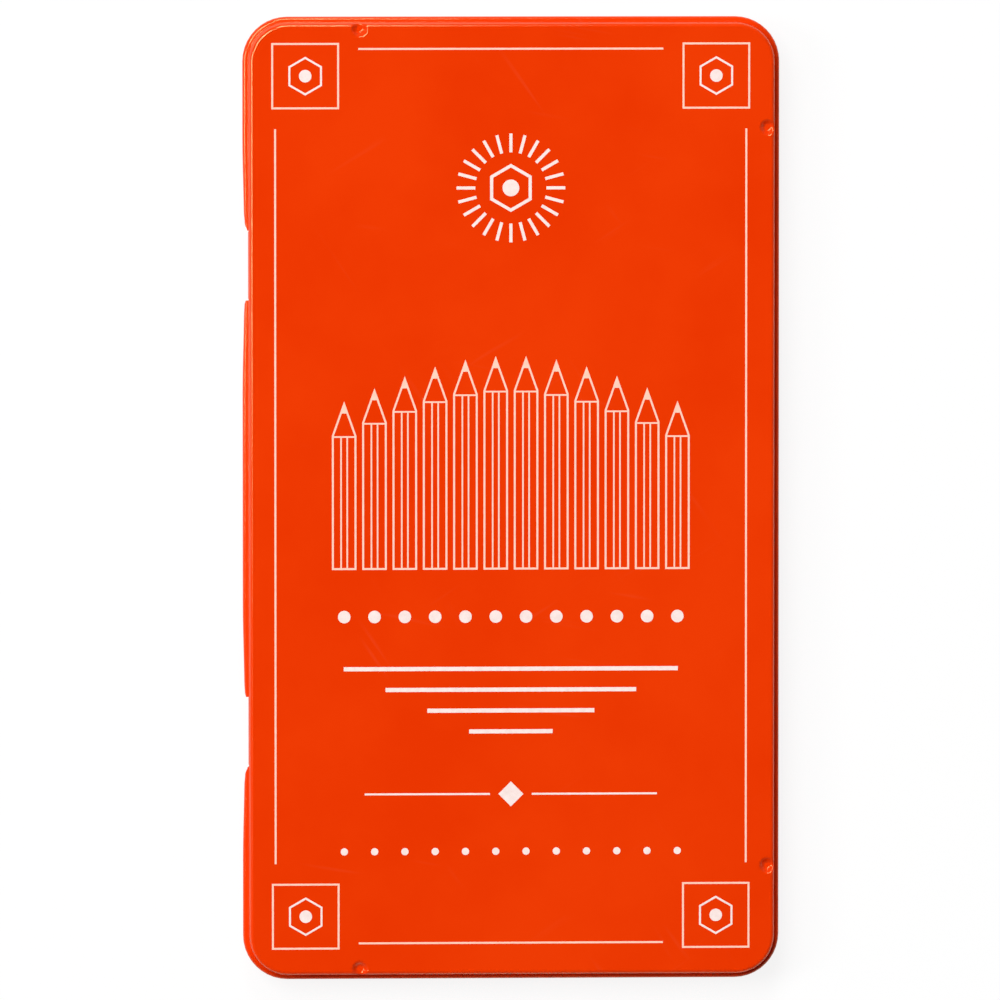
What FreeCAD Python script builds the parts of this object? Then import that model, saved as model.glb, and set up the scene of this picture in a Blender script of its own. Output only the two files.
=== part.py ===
import FreeCAD, Part
import math
import os

import Sketcher

PENCILS = 12
PENCIL_SIDES = 6
QUARTER_TURN = 90
HALF_TURN = 180
THREE_QUARTERS = 270
FULL_TURN = 360
CURL_MITRE = 36

# Sizes that are set by hand, in millimetres.
SIZES = [
    ("pencil_length", "174", "pencil, point to cut end"),
    ("pencil_flats", "6.4", "pencil across flats"),
    ("pencil_edge", "0.6", "rounding of the six long edges"),
    ("core_diameter", "3.0", "coloured core"),
    ("glue_line", "0.02", "core to bore, all round"),
    ("tip_length", "20", "length of the sharpened cone"),
    ("tip_flat", "0.5", "diameter of the blunted point"),
    ("pencil_gap", "0.5", "between neighbouring pencils"),
    ("pencil_seat", "0.2", "pencil corner to groove, all round"),
    ("pencil_end_room", "1.6", "free length at each end of a pencil"),
    ("pencil_headroom", "3.1", "pencil to the underside of the lid"),
    ("tray_sheet", "0.4", "tray wall"),
    ("tray_deck_drop", "1.5", "deck below the pencil axis"),
    ("tray_lift", "0.4", "groove above the floor of the tin"),
    ("tray_flange", "2.33", "deck outside the outermost groove"),
    ("tray_clearance", "0.25", "tray to the mouth of the tin"),
    ("tray_edge", "0.8", "rounding of the deck's outer edge"),
    ("finger_well", "28", "well across the middle, along the pencils"),
    ("well_corner", "5", "corner radius of the well"),
    ("plate", "0.25", "tinplate"),
    ("tin_corner", "8.5", "corner radius of the outline"),
    ("lid_edge", "0.8", "rounding between top and skirt"),
    ("lid_depth", "5.6", "top of the lid to the foot of its curl"),
    ("lid_curl", "1.4", "outside diameter of the lid's curl"),
    ("curl_root", "0.2", "hollow rounding between skirt and curl"),
    ("lid_clearance", "0.35", "wall of the base to the skirt"),
    ("rim_curl", "1.2", "outside diameter of the base's rim"),
    ("base_edge", "1.5", "rounding between wall and foot"),
    ("foot_width", "3", "standing ring"),
    ("floor_raise", "0.6", "floor above the standing ring"),
    ("dent_width", "3.6", "dent across, on the top"),
    ("dent_depth", "0.8", "dent below the top"),
    ("dent_inset", "1.5", "dent's middle inside the skirt"),
    ("dent_from_hinge", "22.4", "end dents, from the hinge side"),
    ("dent_from_end", "21.5", "front dents, from the ends"),
    ("dent_clearance", "0.2", "dent to the rim below it"),
    ("hinge_spacing", "89.3", "between the two hinges"),
    ("hinge_window", "13.4", "gap in the curl, window in the wall"),
    ("hinge_drop", "1.4", "pin below the foot of the curl"),
    ("window_above", "1.1", "window above the pin"),
    ("window_below", "1.5", "window below the pin"),
    ("pin_diameter", "1.0", "hinge pin"),
    ("pin_running_fit", "0.05", "pin to the rolled tongue"),
    ("pin_press_fit", "0.01", "pin to the knuckles"),
    ("pin_chamfer", "0.15", "broken edge of the pin"),
    ("knuckle_length", "2.5", "one knuckle, along the pin"),
    ("tongue_clearance", "0.3", "tongue to each knuckle"),
]

# Sizes that follow from those above.
DERIVED = [
    ("pencil_sharp", f"=sizes.pencil_flats / 2 / cos({HALF_TURN} / {PENCIL_SIDES})", "sharp corner"),
    ("pencil_loss", "=sizes.pencil_edge * (2 * pencil_sharp / sizes.pencil_flats - 1)", "lost by rounding"),
    ("pencil_corner", "=pencil_sharp - pencil_loss", "axis to rounded corner"),
    ("pencil_pitch", "=2 * pencil_corner + sizes.pencil_gap", "pencil to pencil"),
    ("row_half", f"=pencil_pitch * {PENCILS - 1} / 2", "middle to the outermost pencil"),
    ("pencil_half", "=sizes.pencil_length / 2", "middle to the point"),
    ("core_radius", "=sizes.core_diameter / 2", "core"),
    ("bore_radius", "=core_radius + sizes.glue_line", "bore of the casing"),
    ("tip_run", "=sizes.tip_length / (pencil_corner - sizes.tip_flat / 2)", "cone length per mm"),
    ("groove_radius", "=pencil_corner + sizes.pencil_seat", "groove"),
    ("floor_top", "=sizes.plate + sizes.floor_raise", "upper face of the floor"),
    ("axis_height", "=floor_top + sizes.tray_lift + sizes.tray_sheet + groove_radius", "pencil axis"),
    ("deck_height", "=axis_height - sizes.tray_deck_drop", "deck of the tray"),
    ("groove_mouth", "=sqrt(groove_radius ^ 2 - sizes.tray_deck_drop ^ 2)", "half mouth of a groove"),
    ("tray_half_x", "=row_half + groove_mouth + sizes.tray_flange", "tray"),
    ("tray_half_y", "=pencil_half + sizes.pencil_end_room + sizes.tray_sheet", "tray"),
    ("base_half_x", "=tray_half_x + sizes.tray_clearance + sizes.rim_curl", "outer face of the base"),
    ("base_half_y", "=tray_half_y + sizes.tray_clearance + sizes.rim_curl", "outer face of the base"),
    ("skirt_half_x", "=base_half_x + sizes.lid_clearance", "inner face of the skirt"),
    ("skirt_half_y", "=base_half_y + sizes.lid_clearance", "inner face of the skirt"),
    ("skirt_corner", "=sizes.tin_corner - sizes.lid_curl", "inner corner of the skirt"),
    ("base_corner", "=skirt_corner - sizes.lid_clearance", "outer corner of the base"),
    ("tray_corner", "=base_corner - sizes.rim_curl - sizes.tray_clearance", "corner of the tray"),
    ("foot_inset", "=sizes.base_edge + sizes.foot_width", "wall to the raised floor"),
    ("pencil_top", "=axis_height + sizes.pencil_flats / 2", "top of a pencil"),
    ("tin_height", "=pencil_top + sizes.pencil_headroom + sizes.plate", "top of the lid"),
    ("dent_foot", "=tin_height - sizes.plate - sizes.dent_depth", "underside of a dent"),
    ("rim_top", "=dent_foot - sizes.dent_clearance", "rim of the base"),
    ("rim_axis", "=rim_top - sizes.rim_curl / 2", "middle of the rim's curl"),
    ("lid_foot", "=tin_height - sizes.lid_depth", "foot of the lid"),
    ("curl_axis", "=lid_foot + sizes.lid_curl / 2", "middle of the lid's curl"),
    ("root_reach", "=sizes.lid_curl / 2 + sizes.curl_root", "middle of the curl to that of its root"),
    ("root_offset", "=sizes.lid_curl / 2 - sizes.plate - sizes.curl_root", "the same, level"),
    ("skirt_foot", "=curl_axis + sqrt(root_reach ^ 2 - root_offset ^ 2)", "where the skirt flares out"),
    ("pin_radius", "=sizes.pin_diameter / 2", "hinge pin"),
    ("pin_length", "=sizes.hinge_window + 2 * sizes.knuckle_length", "hinge pin"),
    ("pin_z", "=lid_foot - sizes.hinge_drop", "pin above the foot"),
    ("tongue_bore", "=pin_radius + sizes.pin_running_fit", "inside of the rolled tongue"),
    ("pin_x", "=skirt_half_x - tongue_bore", "pin from the middle, on the hinge side"),
    ("knuckle_bore", "=pin_radius + sizes.pin_press_fit", "inside of a knuckle"),
    ("dent_radius", "=sizes.dent_width ^ 2 / (8 * sizes.dent_depth) + sizes.dent_depth / 2", "dent ball"),
    ("dent_height", "=tin_height + dent_radius - sizes.dent_depth", "middle of that ball"),
    ("dent_end_x", "=sizes.dent_from_hinge - skirt_half_x - sizes.lid_curl", "end dents"),
    ("dent_end_y", "=skirt_half_y + sizes.plate - sizes.dent_inset", "end dents"),
    ("dent_front_x", "=skirt_half_x + sizes.plate - sizes.dent_inset", "front dents"),
    ("dent_front_y", "=skirt_half_y + sizes.lid_curl - sizes.dent_from_end", "front dents"),
]


def make_sheet(name, rows):
    sheet = DOC.addObject("Spreadsheet::Sheet", name)
    for number, (alias, content, note) in enumerate(rows, start=1):
        sheet.set(f"A{number}", note)
        sheet.set(f"B{number}", content)
        sheet.setAlias(f"B{number}", alias)
    DOC.recompute()
    return sheet


def value(expression):
    """Present value of a size expression, for the first placing of sketch lines."""
    result = DOC.getObject("sizes").evalExpression(expression)
    return float(getattr(result, "Value", result))


def bind(item, **expressions):
    """Ties properties to sizes; a double underscore stands for a dot."""
    for name, expression in expressions.items():
        item.setExpression(name.replace("__", "."), expression)


def place(item, x="0", y="0", z="0"):
    bind(item, Placement__Base__x=x, Placement__Base__y=y, Placement__Base__z=z)
    return item


# Sketches.


def new_sketch(body, name, role, offset="0"):
    sketch = body.newObject("Sketcher::SketchObject", name)
    plane = next(f for f in body.Origin.OriginFeatures if f.Role == role)
    sketch.AttachmentSupport = [(plane, "")]
    sketch.MapMode = "FlatFace"
    bind(sketch, AttachmentOffset__Base__z=offset)
    return sketch


def add_line(sketch, start, end):
    return sketch.addGeometry(Part.LineSegment(FreeCAD.Vector(*start), FreeCAD.Vector(*end)))


def add_arc(sketch, centre, radius, start, end):
    circle = Part.Circle(FreeCAD.Vector(*centre), FreeCAD.Vector(0, 0, 1), radius)
    return sketch.addGeometry(Part.ArcOfCircle(circle, math.radians(start), math.radians(end)))


def polar(centre, radius, angle):
    turn = math.radians(angle)
    return centre[0] + radius * math.cos(turn), centre[1] + radius * math.sin(turn)


def relate(sketch, kind, *references):
    sketch.addConstraint(Sketcher.Constraint(kind, *references))


def join(sketch, *pairs):
    for first, second in pairs:
        relate(sketch, "Coincident", *first, *second)


def drive(sketch, name, expression, kind, *references):
    """Adds a dimension that follows a size."""
    index = sketch.addConstraint(Sketcher.Constraint(kind, *references, value(expression)))
    sketch.renameConstraint(index, name)
    sketch.setExpression(f"Constraints.{name}", expression)


def rounded_rectangle(sketch, half_x, half_y, corner):
    x, y, r = value(half_x), value(half_y), value(corner)
    middles = [(x - r, y - r), (r - x, y - r), (r - x, r - y), (x - r, r - y)]
    arcs = []
    lines = []
    for number, middle in enumerate(middles):
        start = number * QUARTER_TURN
        end = start + QUARTER_TURN
        arcs.append(add_arc(sketch, middle, r, start, end))
        following = middles[(number + 1) % len(middles)]
        lines.append(add_line(sketch, polar(middle, r, end), polar(following, r, end)))
    for number, line in enumerate(lines):
        relate(sketch, "Tangent", arcs[number], 2, line, 1)
        relate(sketch, "Tangent", line, 2, arcs[(number + 1) % len(arcs)], 1)
    for arc in arcs[1:]:
        relate(sketch, "Equal", arcs[0], arc)
    relate(sketch, "Horizontal", lines[0])
    relate(sketch, "Vertical", lines[1])
    relate(sketch, "Symmetric", arcs[0], 3, arcs[2], 3, -1, 1)
    drive(sketch, "half_x", half_x, "DistanceX", -1, 1, lines[3], 1)
    drive(sketch, "half_y", half_y, "DistanceY", -1, 1, lines[0], 1)
    drive(sketch, "corner", corner, "Radius", arcs[0])


def circle(sketch, x, y, radius):
    """Circle to the right of the vertical axis or on it."""
    middle = FreeCAD.Vector(value(x), value(y))
    index = sketch.addGeometry(Part.Circle(middle, FreeCAD.Vector(0, 0, 1), value(radius)))
    drive(sketch, "middle_x", x, "DistanceX", -1, 1, index, 3)
    drive(sketch, "middle_y", y, "DistanceY", -1, 1, index, 3)
    drive(sketch, "radius", radius, "Radius", index)


def rim_section(sketch):
    """Sheet rolled inward from the top of the wall through three quarters of a turn."""
    x, z = "derived.base_half_x - sizes.rim_curl / 2", "derived.rim_axis"
    middle = (value(x), value(z))
    outside = value("sizes.rim_curl / 2")
    inside = outside - value("sizes.plate")
    back = add_arc(sketch, middle, outside, 0, THREE_QUARTERS)
    face = add_arc(sketch, middle, inside, 0, THREE_QUARTERS)
    root = add_line(sketch, polar(middle, outside, 0), polar(middle, inside, 0))
    lip = add_line(sketch, polar(middle, outside, THREE_QUARTERS), polar(middle, inside, THREE_QUARTERS))
    join(sketch, ((back, 1), (root, 1)), ((face, 1), (root, 2)))
    join(sketch, ((back, 2), (lip, 1)), ((face, 2), (lip, 2)), ((back, 3), (face, 3)))
    relate(sketch, "Horizontal", root)
    relate(sketch, "PointOnObject", back, 3, root)
    relate(sketch, "Vertical", lip)
    relate(sketch, "PointOnObject", back, 3, lip)
    drive(sketch, "middle_x", x, "DistanceX", -1, 1, back, 3)
    drive(sketch, "middle_z", z, "DistanceY", -1, 1, back, 3)
    drive(sketch, "outside", "sizes.rim_curl / 2", "Radius", back)
    drive(sketch, "inside", "sizes.rim_curl / 2 - sizes.plate", "Radius", face)


def curl_section(sketch):
    """Sheet that flares out at the foot of the skirt, then rolls over, down and under."""
    x, z = "derived.skirt_half_x + sizes.lid_curl / 2", "derived.curl_axis"
    root_x, root_z = "derived.skirt_half_x + sizes.plate + sizes.curl_root", "derived.skirt_foot"
    middle = (value(x), value(z))
    hollow = (value(root_x), value(root_z))
    outside = value("sizes.lid_curl / 2")
    inside = outside - value("sizes.plate")
    shallow = value("sizes.curl_root")
    deep = shallow + value("sizes.plate")
    meeting = FULL_TURN + math.degrees(math.atan2(middle[1] - hollow[1], middle[0] - hollow[0]))
    flare_face = add_arc(sketch, hollow, shallow, HALF_TURN, meeting)
    flare_back = add_arc(sketch, hollow, deep, HALF_TURN, meeting)
    roll_face = add_arc(sketch, middle, outside, HALF_TURN, meeting + HALF_TURN)
    roll_back = add_arc(sketch, middle, inside, HALF_TURN, meeting + HALF_TURN)
    root = add_line(sketch, polar(hollow, deep, HALF_TURN), polar(hollow, shallow, HALF_TURN))
    lip = add_line(sketch, polar(middle, outside, HALF_TURN), polar(middle, inside, HALF_TURN))
    join(sketch, ((flare_back, 1), (root, 1)), ((flare_face, 1), (root, 2)))
    join(sketch, ((roll_face, 1), (lip, 1)), ((roll_back, 1), (lip, 2)))
    join(sketch, ((flare_face, 3), (flare_back, 3)), ((roll_face, 3), (roll_back, 3)))
    relate(sketch, "Tangent", flare_face, 2, roll_face, 2)
    relate(sketch, "Tangent", flare_back, 2, roll_back, 2)
    relate(sketch, "Horizontal", root)
    relate(sketch, "PointOnObject", flare_face, 3, root)
    relate(sketch, "Horizontal", lip)
    relate(sketch, "PointOnObject", roll_face, 3, lip)
    drive(sketch, "middle_x", x, "DistanceX", -1, 1, roll_face, 3)
    drive(sketch, "middle_z", z, "DistanceY", -1, 1, roll_face, 3)
    drive(sketch, "root_x", root_x, "DistanceX", -1, 1, flare_face, 3)
    drive(sketch, "root_z", root_z, "DistanceY", -1, 1, flare_face, 3)
    drive(sketch, "outside", "sizes.lid_curl / 2", "Radius", roll_face)
    drive(sketch, "inside", "sizes.lid_curl / 2 - sizes.plate", "Radius", roll_back)


def tongue_section(sketch):
    """Strip of the skirt that runs down and rolls inward round the pin."""
    middle = (-value("derived.pin_x"), value("derived.pin_z"))
    inside = value("derived.tongue_bore")
    outside = inside + value("sizes.plate")
    top = value("derived.skirt_foot")
    end = HALF_TURN + THREE_QUARTERS
    back = add_arc(sketch, middle, outside, HALF_TURN, end)
    face = add_arc(sketch, middle, inside, HALF_TURN, end)
    outer = add_line(sketch, (middle[0] - outside, top), (middle[0] - outside, middle[1]))
    inner = add_line(sketch, (middle[0] - inside, top), (middle[0] - inside, middle[1]))
    root = add_line(sketch, (middle[0] - outside, top), (middle[0] - inside, top))
    lip = add_line(sketch, polar(middle, outside, end), polar(middle, inside, end))
    join(sketch, ((outer, 1), (root, 1)), ((inner, 1), (root, 2)))
    join(sketch, ((back, 2), (lip, 1)), ((face, 2), (lip, 2)), ((back, 3), (face, 3)))
    relate(sketch, "Tangent", outer, 2, back, 1)
    relate(sketch, "Tangent", inner, 2, face, 1)
    relate(sketch, "Vertical", outer)
    relate(sketch, "Vertical", inner)
    relate(sketch, "Horizontal", root)
    relate(sketch, "Vertical", lip)
    relate(sketch, "PointOnObject", back, 3, lip)
    drive(sketch, "pin_x", "derived.pin_x", "DistanceX", back, 3, -1, 1)
    drive(sketch, "pin_z", "derived.pin_z", "DistanceY", -1, 1, back, 3)
    drive(sketch, "inside", "derived.tongue_bore", "Radius", face)
    drive(sketch, "outside", "derived.tongue_bore + sizes.plate", "Radius", back)
    drive(sketch, "top", "derived.skirt_foot", "DistanceY", -1, 1, root, 1)


def polygon(sketch, count, radius):
    """Regular polygon with a corner on the level axis."""
    size = value(radius)
    corners = [polar((0, 0), size, number * FULL_TURN / count) for number in range(count)]
    sides = [add_line(sketch, corners[number - 1], corners[number]) for number in range(count)]
    for number, side in enumerate(sides):
        join(sketch, ((side, 2), (sides[(number + 1) % count], 1)))
    for side in sides[1:]:
        relate(sketch, "Equal", sides[0], side)
    ring = sketch.addGeometry(Part.Circle(FreeCAD.Vector(), FreeCAD.Vector(0, 0, 1), size), True)
    join(sketch, ((ring, 3), (-1, 1)))
    for side in sides:
        relate(sketch, "PointOnObject", side, 2, ring)
    relate(sketch, "PointOnObject", sides[0], 2, -1)
    drive(sketch, "radius", radius, "Radius", ring)


def outline(sketch, corners):
    """Closed run of straight lines through corners given as pairs of sizes."""
    points = [(value(x), value(y)) for x, y in corners]
    lines = [add_line(sketch, points[number - 1], points[number]) for number in range(len(points))]
    for number, line in enumerate(lines):
        join(sketch, ((line, 2), (lines[(number + 1) % len(lines)], 1)))
    for number, (x, y) in enumerate(corners):
        if points[number][0] < 0:
            drive(sketch, f"x_{number}", f"-({x})", "DistanceX", lines[number], 2, -1, 1)
        else:
            drive(sketch, f"x_{number}", x, "DistanceX", -1, 1, lines[number], 2)
        drive(sketch, f"y_{number}", y, "DistanceY", -1, 1, lines[number], 2)


# Solids.


def new_body(name):
    return DOC.addObject("PartDesign::Body", name)


def pad(body, sketch, length, midplane=False, backwards=False):
    feature = body.newObject("PartDesign::Pad", f"{sketch.Name}_pad")
    feature.Profile = sketch
    feature.Midplane = midplane
    feature.Reversed = backwards
    bind(feature, Length=length)
    DOC.recompute()
    return feature


def level_face(feature, highest):
    heights = [face.CenterOfMass.z for face in feature.Shape.Faces]
    wanted = max(heights) if highest else min(heights)
    return f"Face{heights.index(wanted) + 1}"


def rounded_block(name, half_x, half_y, corner, bottom, height):
    body = new_body(name)
    sketch = new_sketch(body, f"{name}_outline", "XY_Plane", bottom)
    rounded_rectangle(sketch, half_x, half_y, corner)
    pad(body, sketch, height)
    return body


def round_edge(body, radius, highest):
    solid = body.Tip
    feature = body.newObject("PartDesign::Fillet", f"{body.Name}_edge")
    feature.Base = (solid, [level_face(solid, highest)])
    bind(feature, Radius=radius)
    DOC.recompute()


def recess(body, half_x, half_y, corner, bottom, depth):
    sketch = new_sketch(body, f"{body.Name}_recess", "XY_Plane", bottom)
    rounded_rectangle(sketch, half_x, half_y, corner)
    feature = body.newObject("PartDesign::Pocket", f"{body.Name}_pocket")
    feature.Profile = sketch
    feature.Reversed = True
    bind(feature, Length=depth)
    DOC.recompute()


def rolled_edge(name, half_x, half_y, corner, height, draw_section):
    """Curl along the whole edge of a pressing."""
    body = new_body(name)
    path = new_sketch(body, f"{name}_path", "XY_Plane", height)
    rounded_rectangle(path, half_x, half_y, corner)
    section = new_sketch(body, f"{name}_section", "XZ_Plane")
    draw_section(section)
    DOC.recompute()
    feature = body.newObject("PartDesign::AdditivePipe", f"{name}_pipe")
    feature.Profile = section
    feature.Spine = (path, [f"Edge{number + 1}" for number in range(len(path.Shape.Edges))])
    DOC.recompute()
    return body


def box(name, size, corner):
    item = DOC.addObject("Part::Box", name)
    bind(item, Length=size[0], Width=size[1], Height=size[2])
    return place(item, *corner)


def ball(name, radius, middle):
    item = DOC.addObject("Part::Sphere", name)
    bind(item, Radius=radius)
    return place(item, *middle)


def rod(name, radius, length, start):
    """Round bar along Y."""
    item = DOC.addObject("Part::Cylinder", name)
    item.Placement.Rotation = FreeCAD.Rotation(FreeCAD.Vector(1, 0, 0), -QUARTER_TURN)
    bind(item, Radius=radius, Height=length)
    return place(item, *start)


def fuse(name, *items):
    result = DOC.addObject("Part::MultiFuse", name)
    result.Shapes = list(items)
    result.Refine = True
    return result


def cut(name, base, tool):
    result = DOC.addObject("Part::Cut", name)
    result.Base = base
    result.Tool = tool
    result.Refine = True
    return result


def common(name, first, second):
    result = DOC.addObject("Part::MultiCommon", name)
    result.Shapes = [first, second]
    return result


# The tin.


def hinge_middle(side):
    return f"{side} * sizes.hinge_spacing / 2"


def window_boxes(name, x, z, depth, height):
    """A box at each hinge, as long as its window."""
    boxes = []
    for number, side in enumerate((1, -1)):
        start = f"{hinge_middle(side)} - sizes.hinge_window / 2"
        boxes.append(box(f"{name}_{number}", (depth, "sizes.hinge_window", height), (x, start, z)))
    return fuse(name, *boxes)


def mitre_boxes():
    """A box turned at the outer end of each gap, where the curl is cut off on the slant."""
    boxes = []
    x, z = "-derived.skirt_half_x - sizes.plate", "derived.curl_axis - sizes.lid_curl"
    for side, angle in ((1, QUARTER_TURN + CURL_MITRE), (-1, HALF_TURN - CURL_MITRE)):
        size = "2 * sizes.lid_curl"
        end = f"{hinge_middle(side)} + {side} * sizes.hinge_window / 2"
        item = box(f"curl_mitre_{len(boxes)}", (size, size, size), (x, end, z))
        item.Placement.Rotation = FreeCAD.Rotation(FreeCAD.Vector(0, 0, 1), angle)
        boxes.append(item)
    return boxes


def dent_balls(name, radius):
    balls = []
    for side in ("", "-"):
        number = len(balls)
        end = ("derived.dent_end_x", f"{side}derived.dent_end_y", "derived.dent_height")
        front = ("derived.dent_front_x", f"{side}derived.dent_front_y", "derived.dent_height")
        balls.append(ball(f"{name}_end_{number}", radius, end))
        balls.append(ball(f"{name}_front_{number}", radius, front))
    return fuse(name, *balls)


def tongue(name, side):
    body = new_body(name)
    sketch = new_sketch(body, f"{name}_section", "XZ_Plane", f"-({hinge_middle(side)})")
    tongue_section(sketch)
    pad(body, sketch, "sizes.hinge_window - 2 * sizes.tongue_clearance", midplane=True)
    return body


def make_lid():
    height = "derived.tin_height - derived.skirt_foot"
    outside = rounded_block(
        "lid_outside",
        "derived.skirt_half_x + sizes.plate",
        "derived.skirt_half_y + sizes.plate",
        "derived.skirt_corner + sizes.plate",
        "derived.skirt_foot",
        height,
    )
    round_edge(outside, "sizes.lid_edge", highest=True)
    inside = rounded_block(
        "lid_inside",
        "derived.skirt_half_x",
        "derived.skirt_half_y",
        "derived.skirt_corner",
        "derived.skirt_foot",
        f"{height} - sizes.plate",
    )
    round_edge(inside, "sizes.lid_edge - sizes.plate", highest=True)
    dented_outside = cut("lid_dented_outside", outside, dent_balls("dents", "derived.dent_radius"))
    dent_backs = dent_balls("dent_backs", "derived.dent_radius + sizes.plate")
    dented_inside = cut("lid_dented_inside", inside, dent_backs)
    skin = cut("lid_skin", dented_outside, dented_inside)
    curl = rolled_edge(
        "lid_curl",
        "derived.skirt_half_x + sizes.lid_curl / 2",
        "derived.skirt_half_y + sizes.lid_curl / 2",
        "derived.skirt_corner + sizes.lid_curl / 2",
        "derived.curl_axis",
        curl_section,
    )
    gaps = window_boxes(
        "curl_gaps",
        "-derived.skirt_half_x - 2 * sizes.lid_curl",
        "derived.curl_axis - sizes.lid_curl",
        "3 * sizes.lid_curl",
        "2 * sizes.lid_curl",
    )
    gapped_curl = cut("lid_gapped_curl", curl, fuse("curl_cuts", gaps, *mitre_boxes()))
    return fuse("lid", skin, gapped_curl, tongue("tongue_upper", 1), tongue("tongue_lower", -1))


def knuckle_rods():
    rods = []
    radius = "derived.knuckle_bore + sizes.plate"
    for side in (1, -1):
        for start in ("-derived.pin_length / 2", "sizes.hinge_window / 2"):
            where = ("-derived.pin_x", f"{hinge_middle(side)} + {start}", "derived.pin_z")
            rods.append(rod(f"knuckle_{len(rods)}", radius, "sizes.knuckle_length", where))
    return rods


def pin_bores():
    rods = []
    for side in (1, -1):
        where = ("-derived.pin_x", f"{hinge_middle(side)} - derived.pin_length / 2", "derived.pin_z")
        rods.append(rod(f"pin_bore_{len(rods)}", "derived.knuckle_bore", "derived.pin_length", where))
    return fuse("pin_bores", *rods)


def make_base():
    outside = rounded_block(
        "base_outside",
        "derived.base_half_x",
        "derived.base_half_y",
        "derived.base_corner",
        "0",
        "derived.rim_axis",
    )
    round_edge(outside, "sizes.base_edge", highest=False)
    recess(
        outside,
        "derived.base_half_x - derived.foot_inset",
        "derived.base_half_y - derived.foot_inset",
        "derived.base_corner - derived.foot_inset",
        "0",
        "sizes.floor_raise",
    )
    inside = rounded_block(
        "base_inside",
        "derived.base_half_x - sizes.plate",
        "derived.base_half_y - sizes.plate",
        "derived.base_corner - sizes.plate",
        "sizes.plate",
        "derived.rim_axis - sizes.plate",
    )
    round_edge(inside, "sizes.base_edge - sizes.plate", highest=False)
    recess(
        inside,
        "derived.base_half_x - derived.foot_inset + sizes.plate",
        "derived.base_half_y - derived.foot_inset + sizes.plate",
        "derived.base_corner - derived.foot_inset + sizes.plate",
        "sizes.plate",
        "sizes.floor_raise",
    )
    rim = rolled_edge(
        "base_rim",
        "derived.base_half_x - sizes.rim_curl / 2",
        "derived.base_half_y - sizes.rim_curl / 2",
        "derived.base_corner - sizes.rim_curl / 2",
        "derived.rim_axis",
        rim_section,
    )
    windows = window_boxes(
        "hinge_windows",
        "-derived.base_half_x - sizes.plate",
        "derived.pin_z - sizes.window_below",
        "3 * sizes.plate",
        "sizes.window_below + sizes.window_above",
    )
    skin = cut("base_windowed", cut("base_skin", outside, inside), windows)
    rolled = fuse("base_rolled", skin, rim, *knuckle_rods())
    return cut("base_pan", rolled, pin_bores())


def make_pin(name, side):
    body = new_body(name)
    sketch = new_sketch(body, f"{name}_section", "XZ_Plane")
    circle(sketch, "0", "0", "derived.pin_radius")
    bar = pad(body, sketch, "derived.pin_length", midplane=True)
    edges = enumerate(bar.Shape.Edges, start=1)
    rims = [f"Edge{n}" for n, edge in edges if edge.Curve.TypeId == "Part::GeomCircle"]
    chamfer = body.newObject("PartDesign::Chamfer", f"{name}_chamfer")
    chamfer.Base = (bar, rims)
    bind(chamfer, Size="sizes.pin_chamfer")
    return place(body, "-derived.pin_x", hinge_middle(side), "derived.pin_z")


# The tray.


def groove_press(name, growth):
    """Tool that presses the finger well and the twelve grooves."""
    body = new_body(name)
    well = new_sketch(body, f"{name}_well", "XY_Plane", f"derived.floor_top + sizes.tray_sheet - {growth}")
    rounded_rectangle(
        well,
        f"derived.row_half + derived.groove_radius + {growth}",
        f"sizes.finger_well / 2 + {growth}",
        f"sizes.well_corner + {growth}",
    )
    pad(body, well, "derived.axis_height")
    section = new_sketch(body, f"{name}_groove", "XZ_Plane")
    circle(section, "derived.row_half", "derived.axis_height", f"derived.groove_radius + {growth}")
    groove = pad(body, section, "2 * derived.tray_half_y", midplane=True)
    row = body.newObject("PartDesign::LinearPattern", f"{name}_row")
    row.Originals = [groove]
    row.Direction = (section, ["H_Axis"])
    row.Reversed = True
    row.Occurrences = PENCILS
    bind(row, Length="2 * derived.row_half")
    body.Tip = row
    DOC.recompute()
    return body


def make_tray():
    height = "derived.deck_height - derived.floor_top"
    outside = rounded_block(
        "tray_outside",
        "derived.tray_half_x",
        "derived.tray_half_y",
        "derived.tray_corner",
        "derived.floor_top",
        height,
    )
    round_edge(outside, "sizes.tray_edge", highest=True)
    inner = (
        "derived.tray_half_x - sizes.tray_sheet",
        "derived.tray_half_y - sizes.tray_sheet",
        "derived.tray_corner - sizes.tray_sheet",
        "derived.floor_top",
    )
    inside = rounded_block("tray_inside", *inner, f"{height} - sizes.tray_sheet")
    round_edge(inside, "sizes.tray_edge - sizes.tray_sheet", highest=True)
    mouth = rounded_block("tray_mouth", *inner, "2 * derived.axis_height")
    pressing = common("tray_pressing", groove_press("groove_press", "0"), mouth)
    upper = cut("tray_upper", outside, pressing)
    lower = cut("tray_lower", inside, groove_press("groove_press_back", "sizes.tray_sheet"))
    return cut("tray", upper, lower)


# The pencils.


def row_place(number):
    return f"derived.pencil_pitch * {number} - derived.row_half"


def long_edges(bar):
    """Edges of a bar that run along Y."""
    names = []
    for number, edge in enumerate(bar.Shape.Edges):
        if abs(edge.tangentAt(edge.FirstParameter).y) > math.cos(math.radians(1)):
            names.append(f"Edge{number + 1}")
    return names


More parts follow.
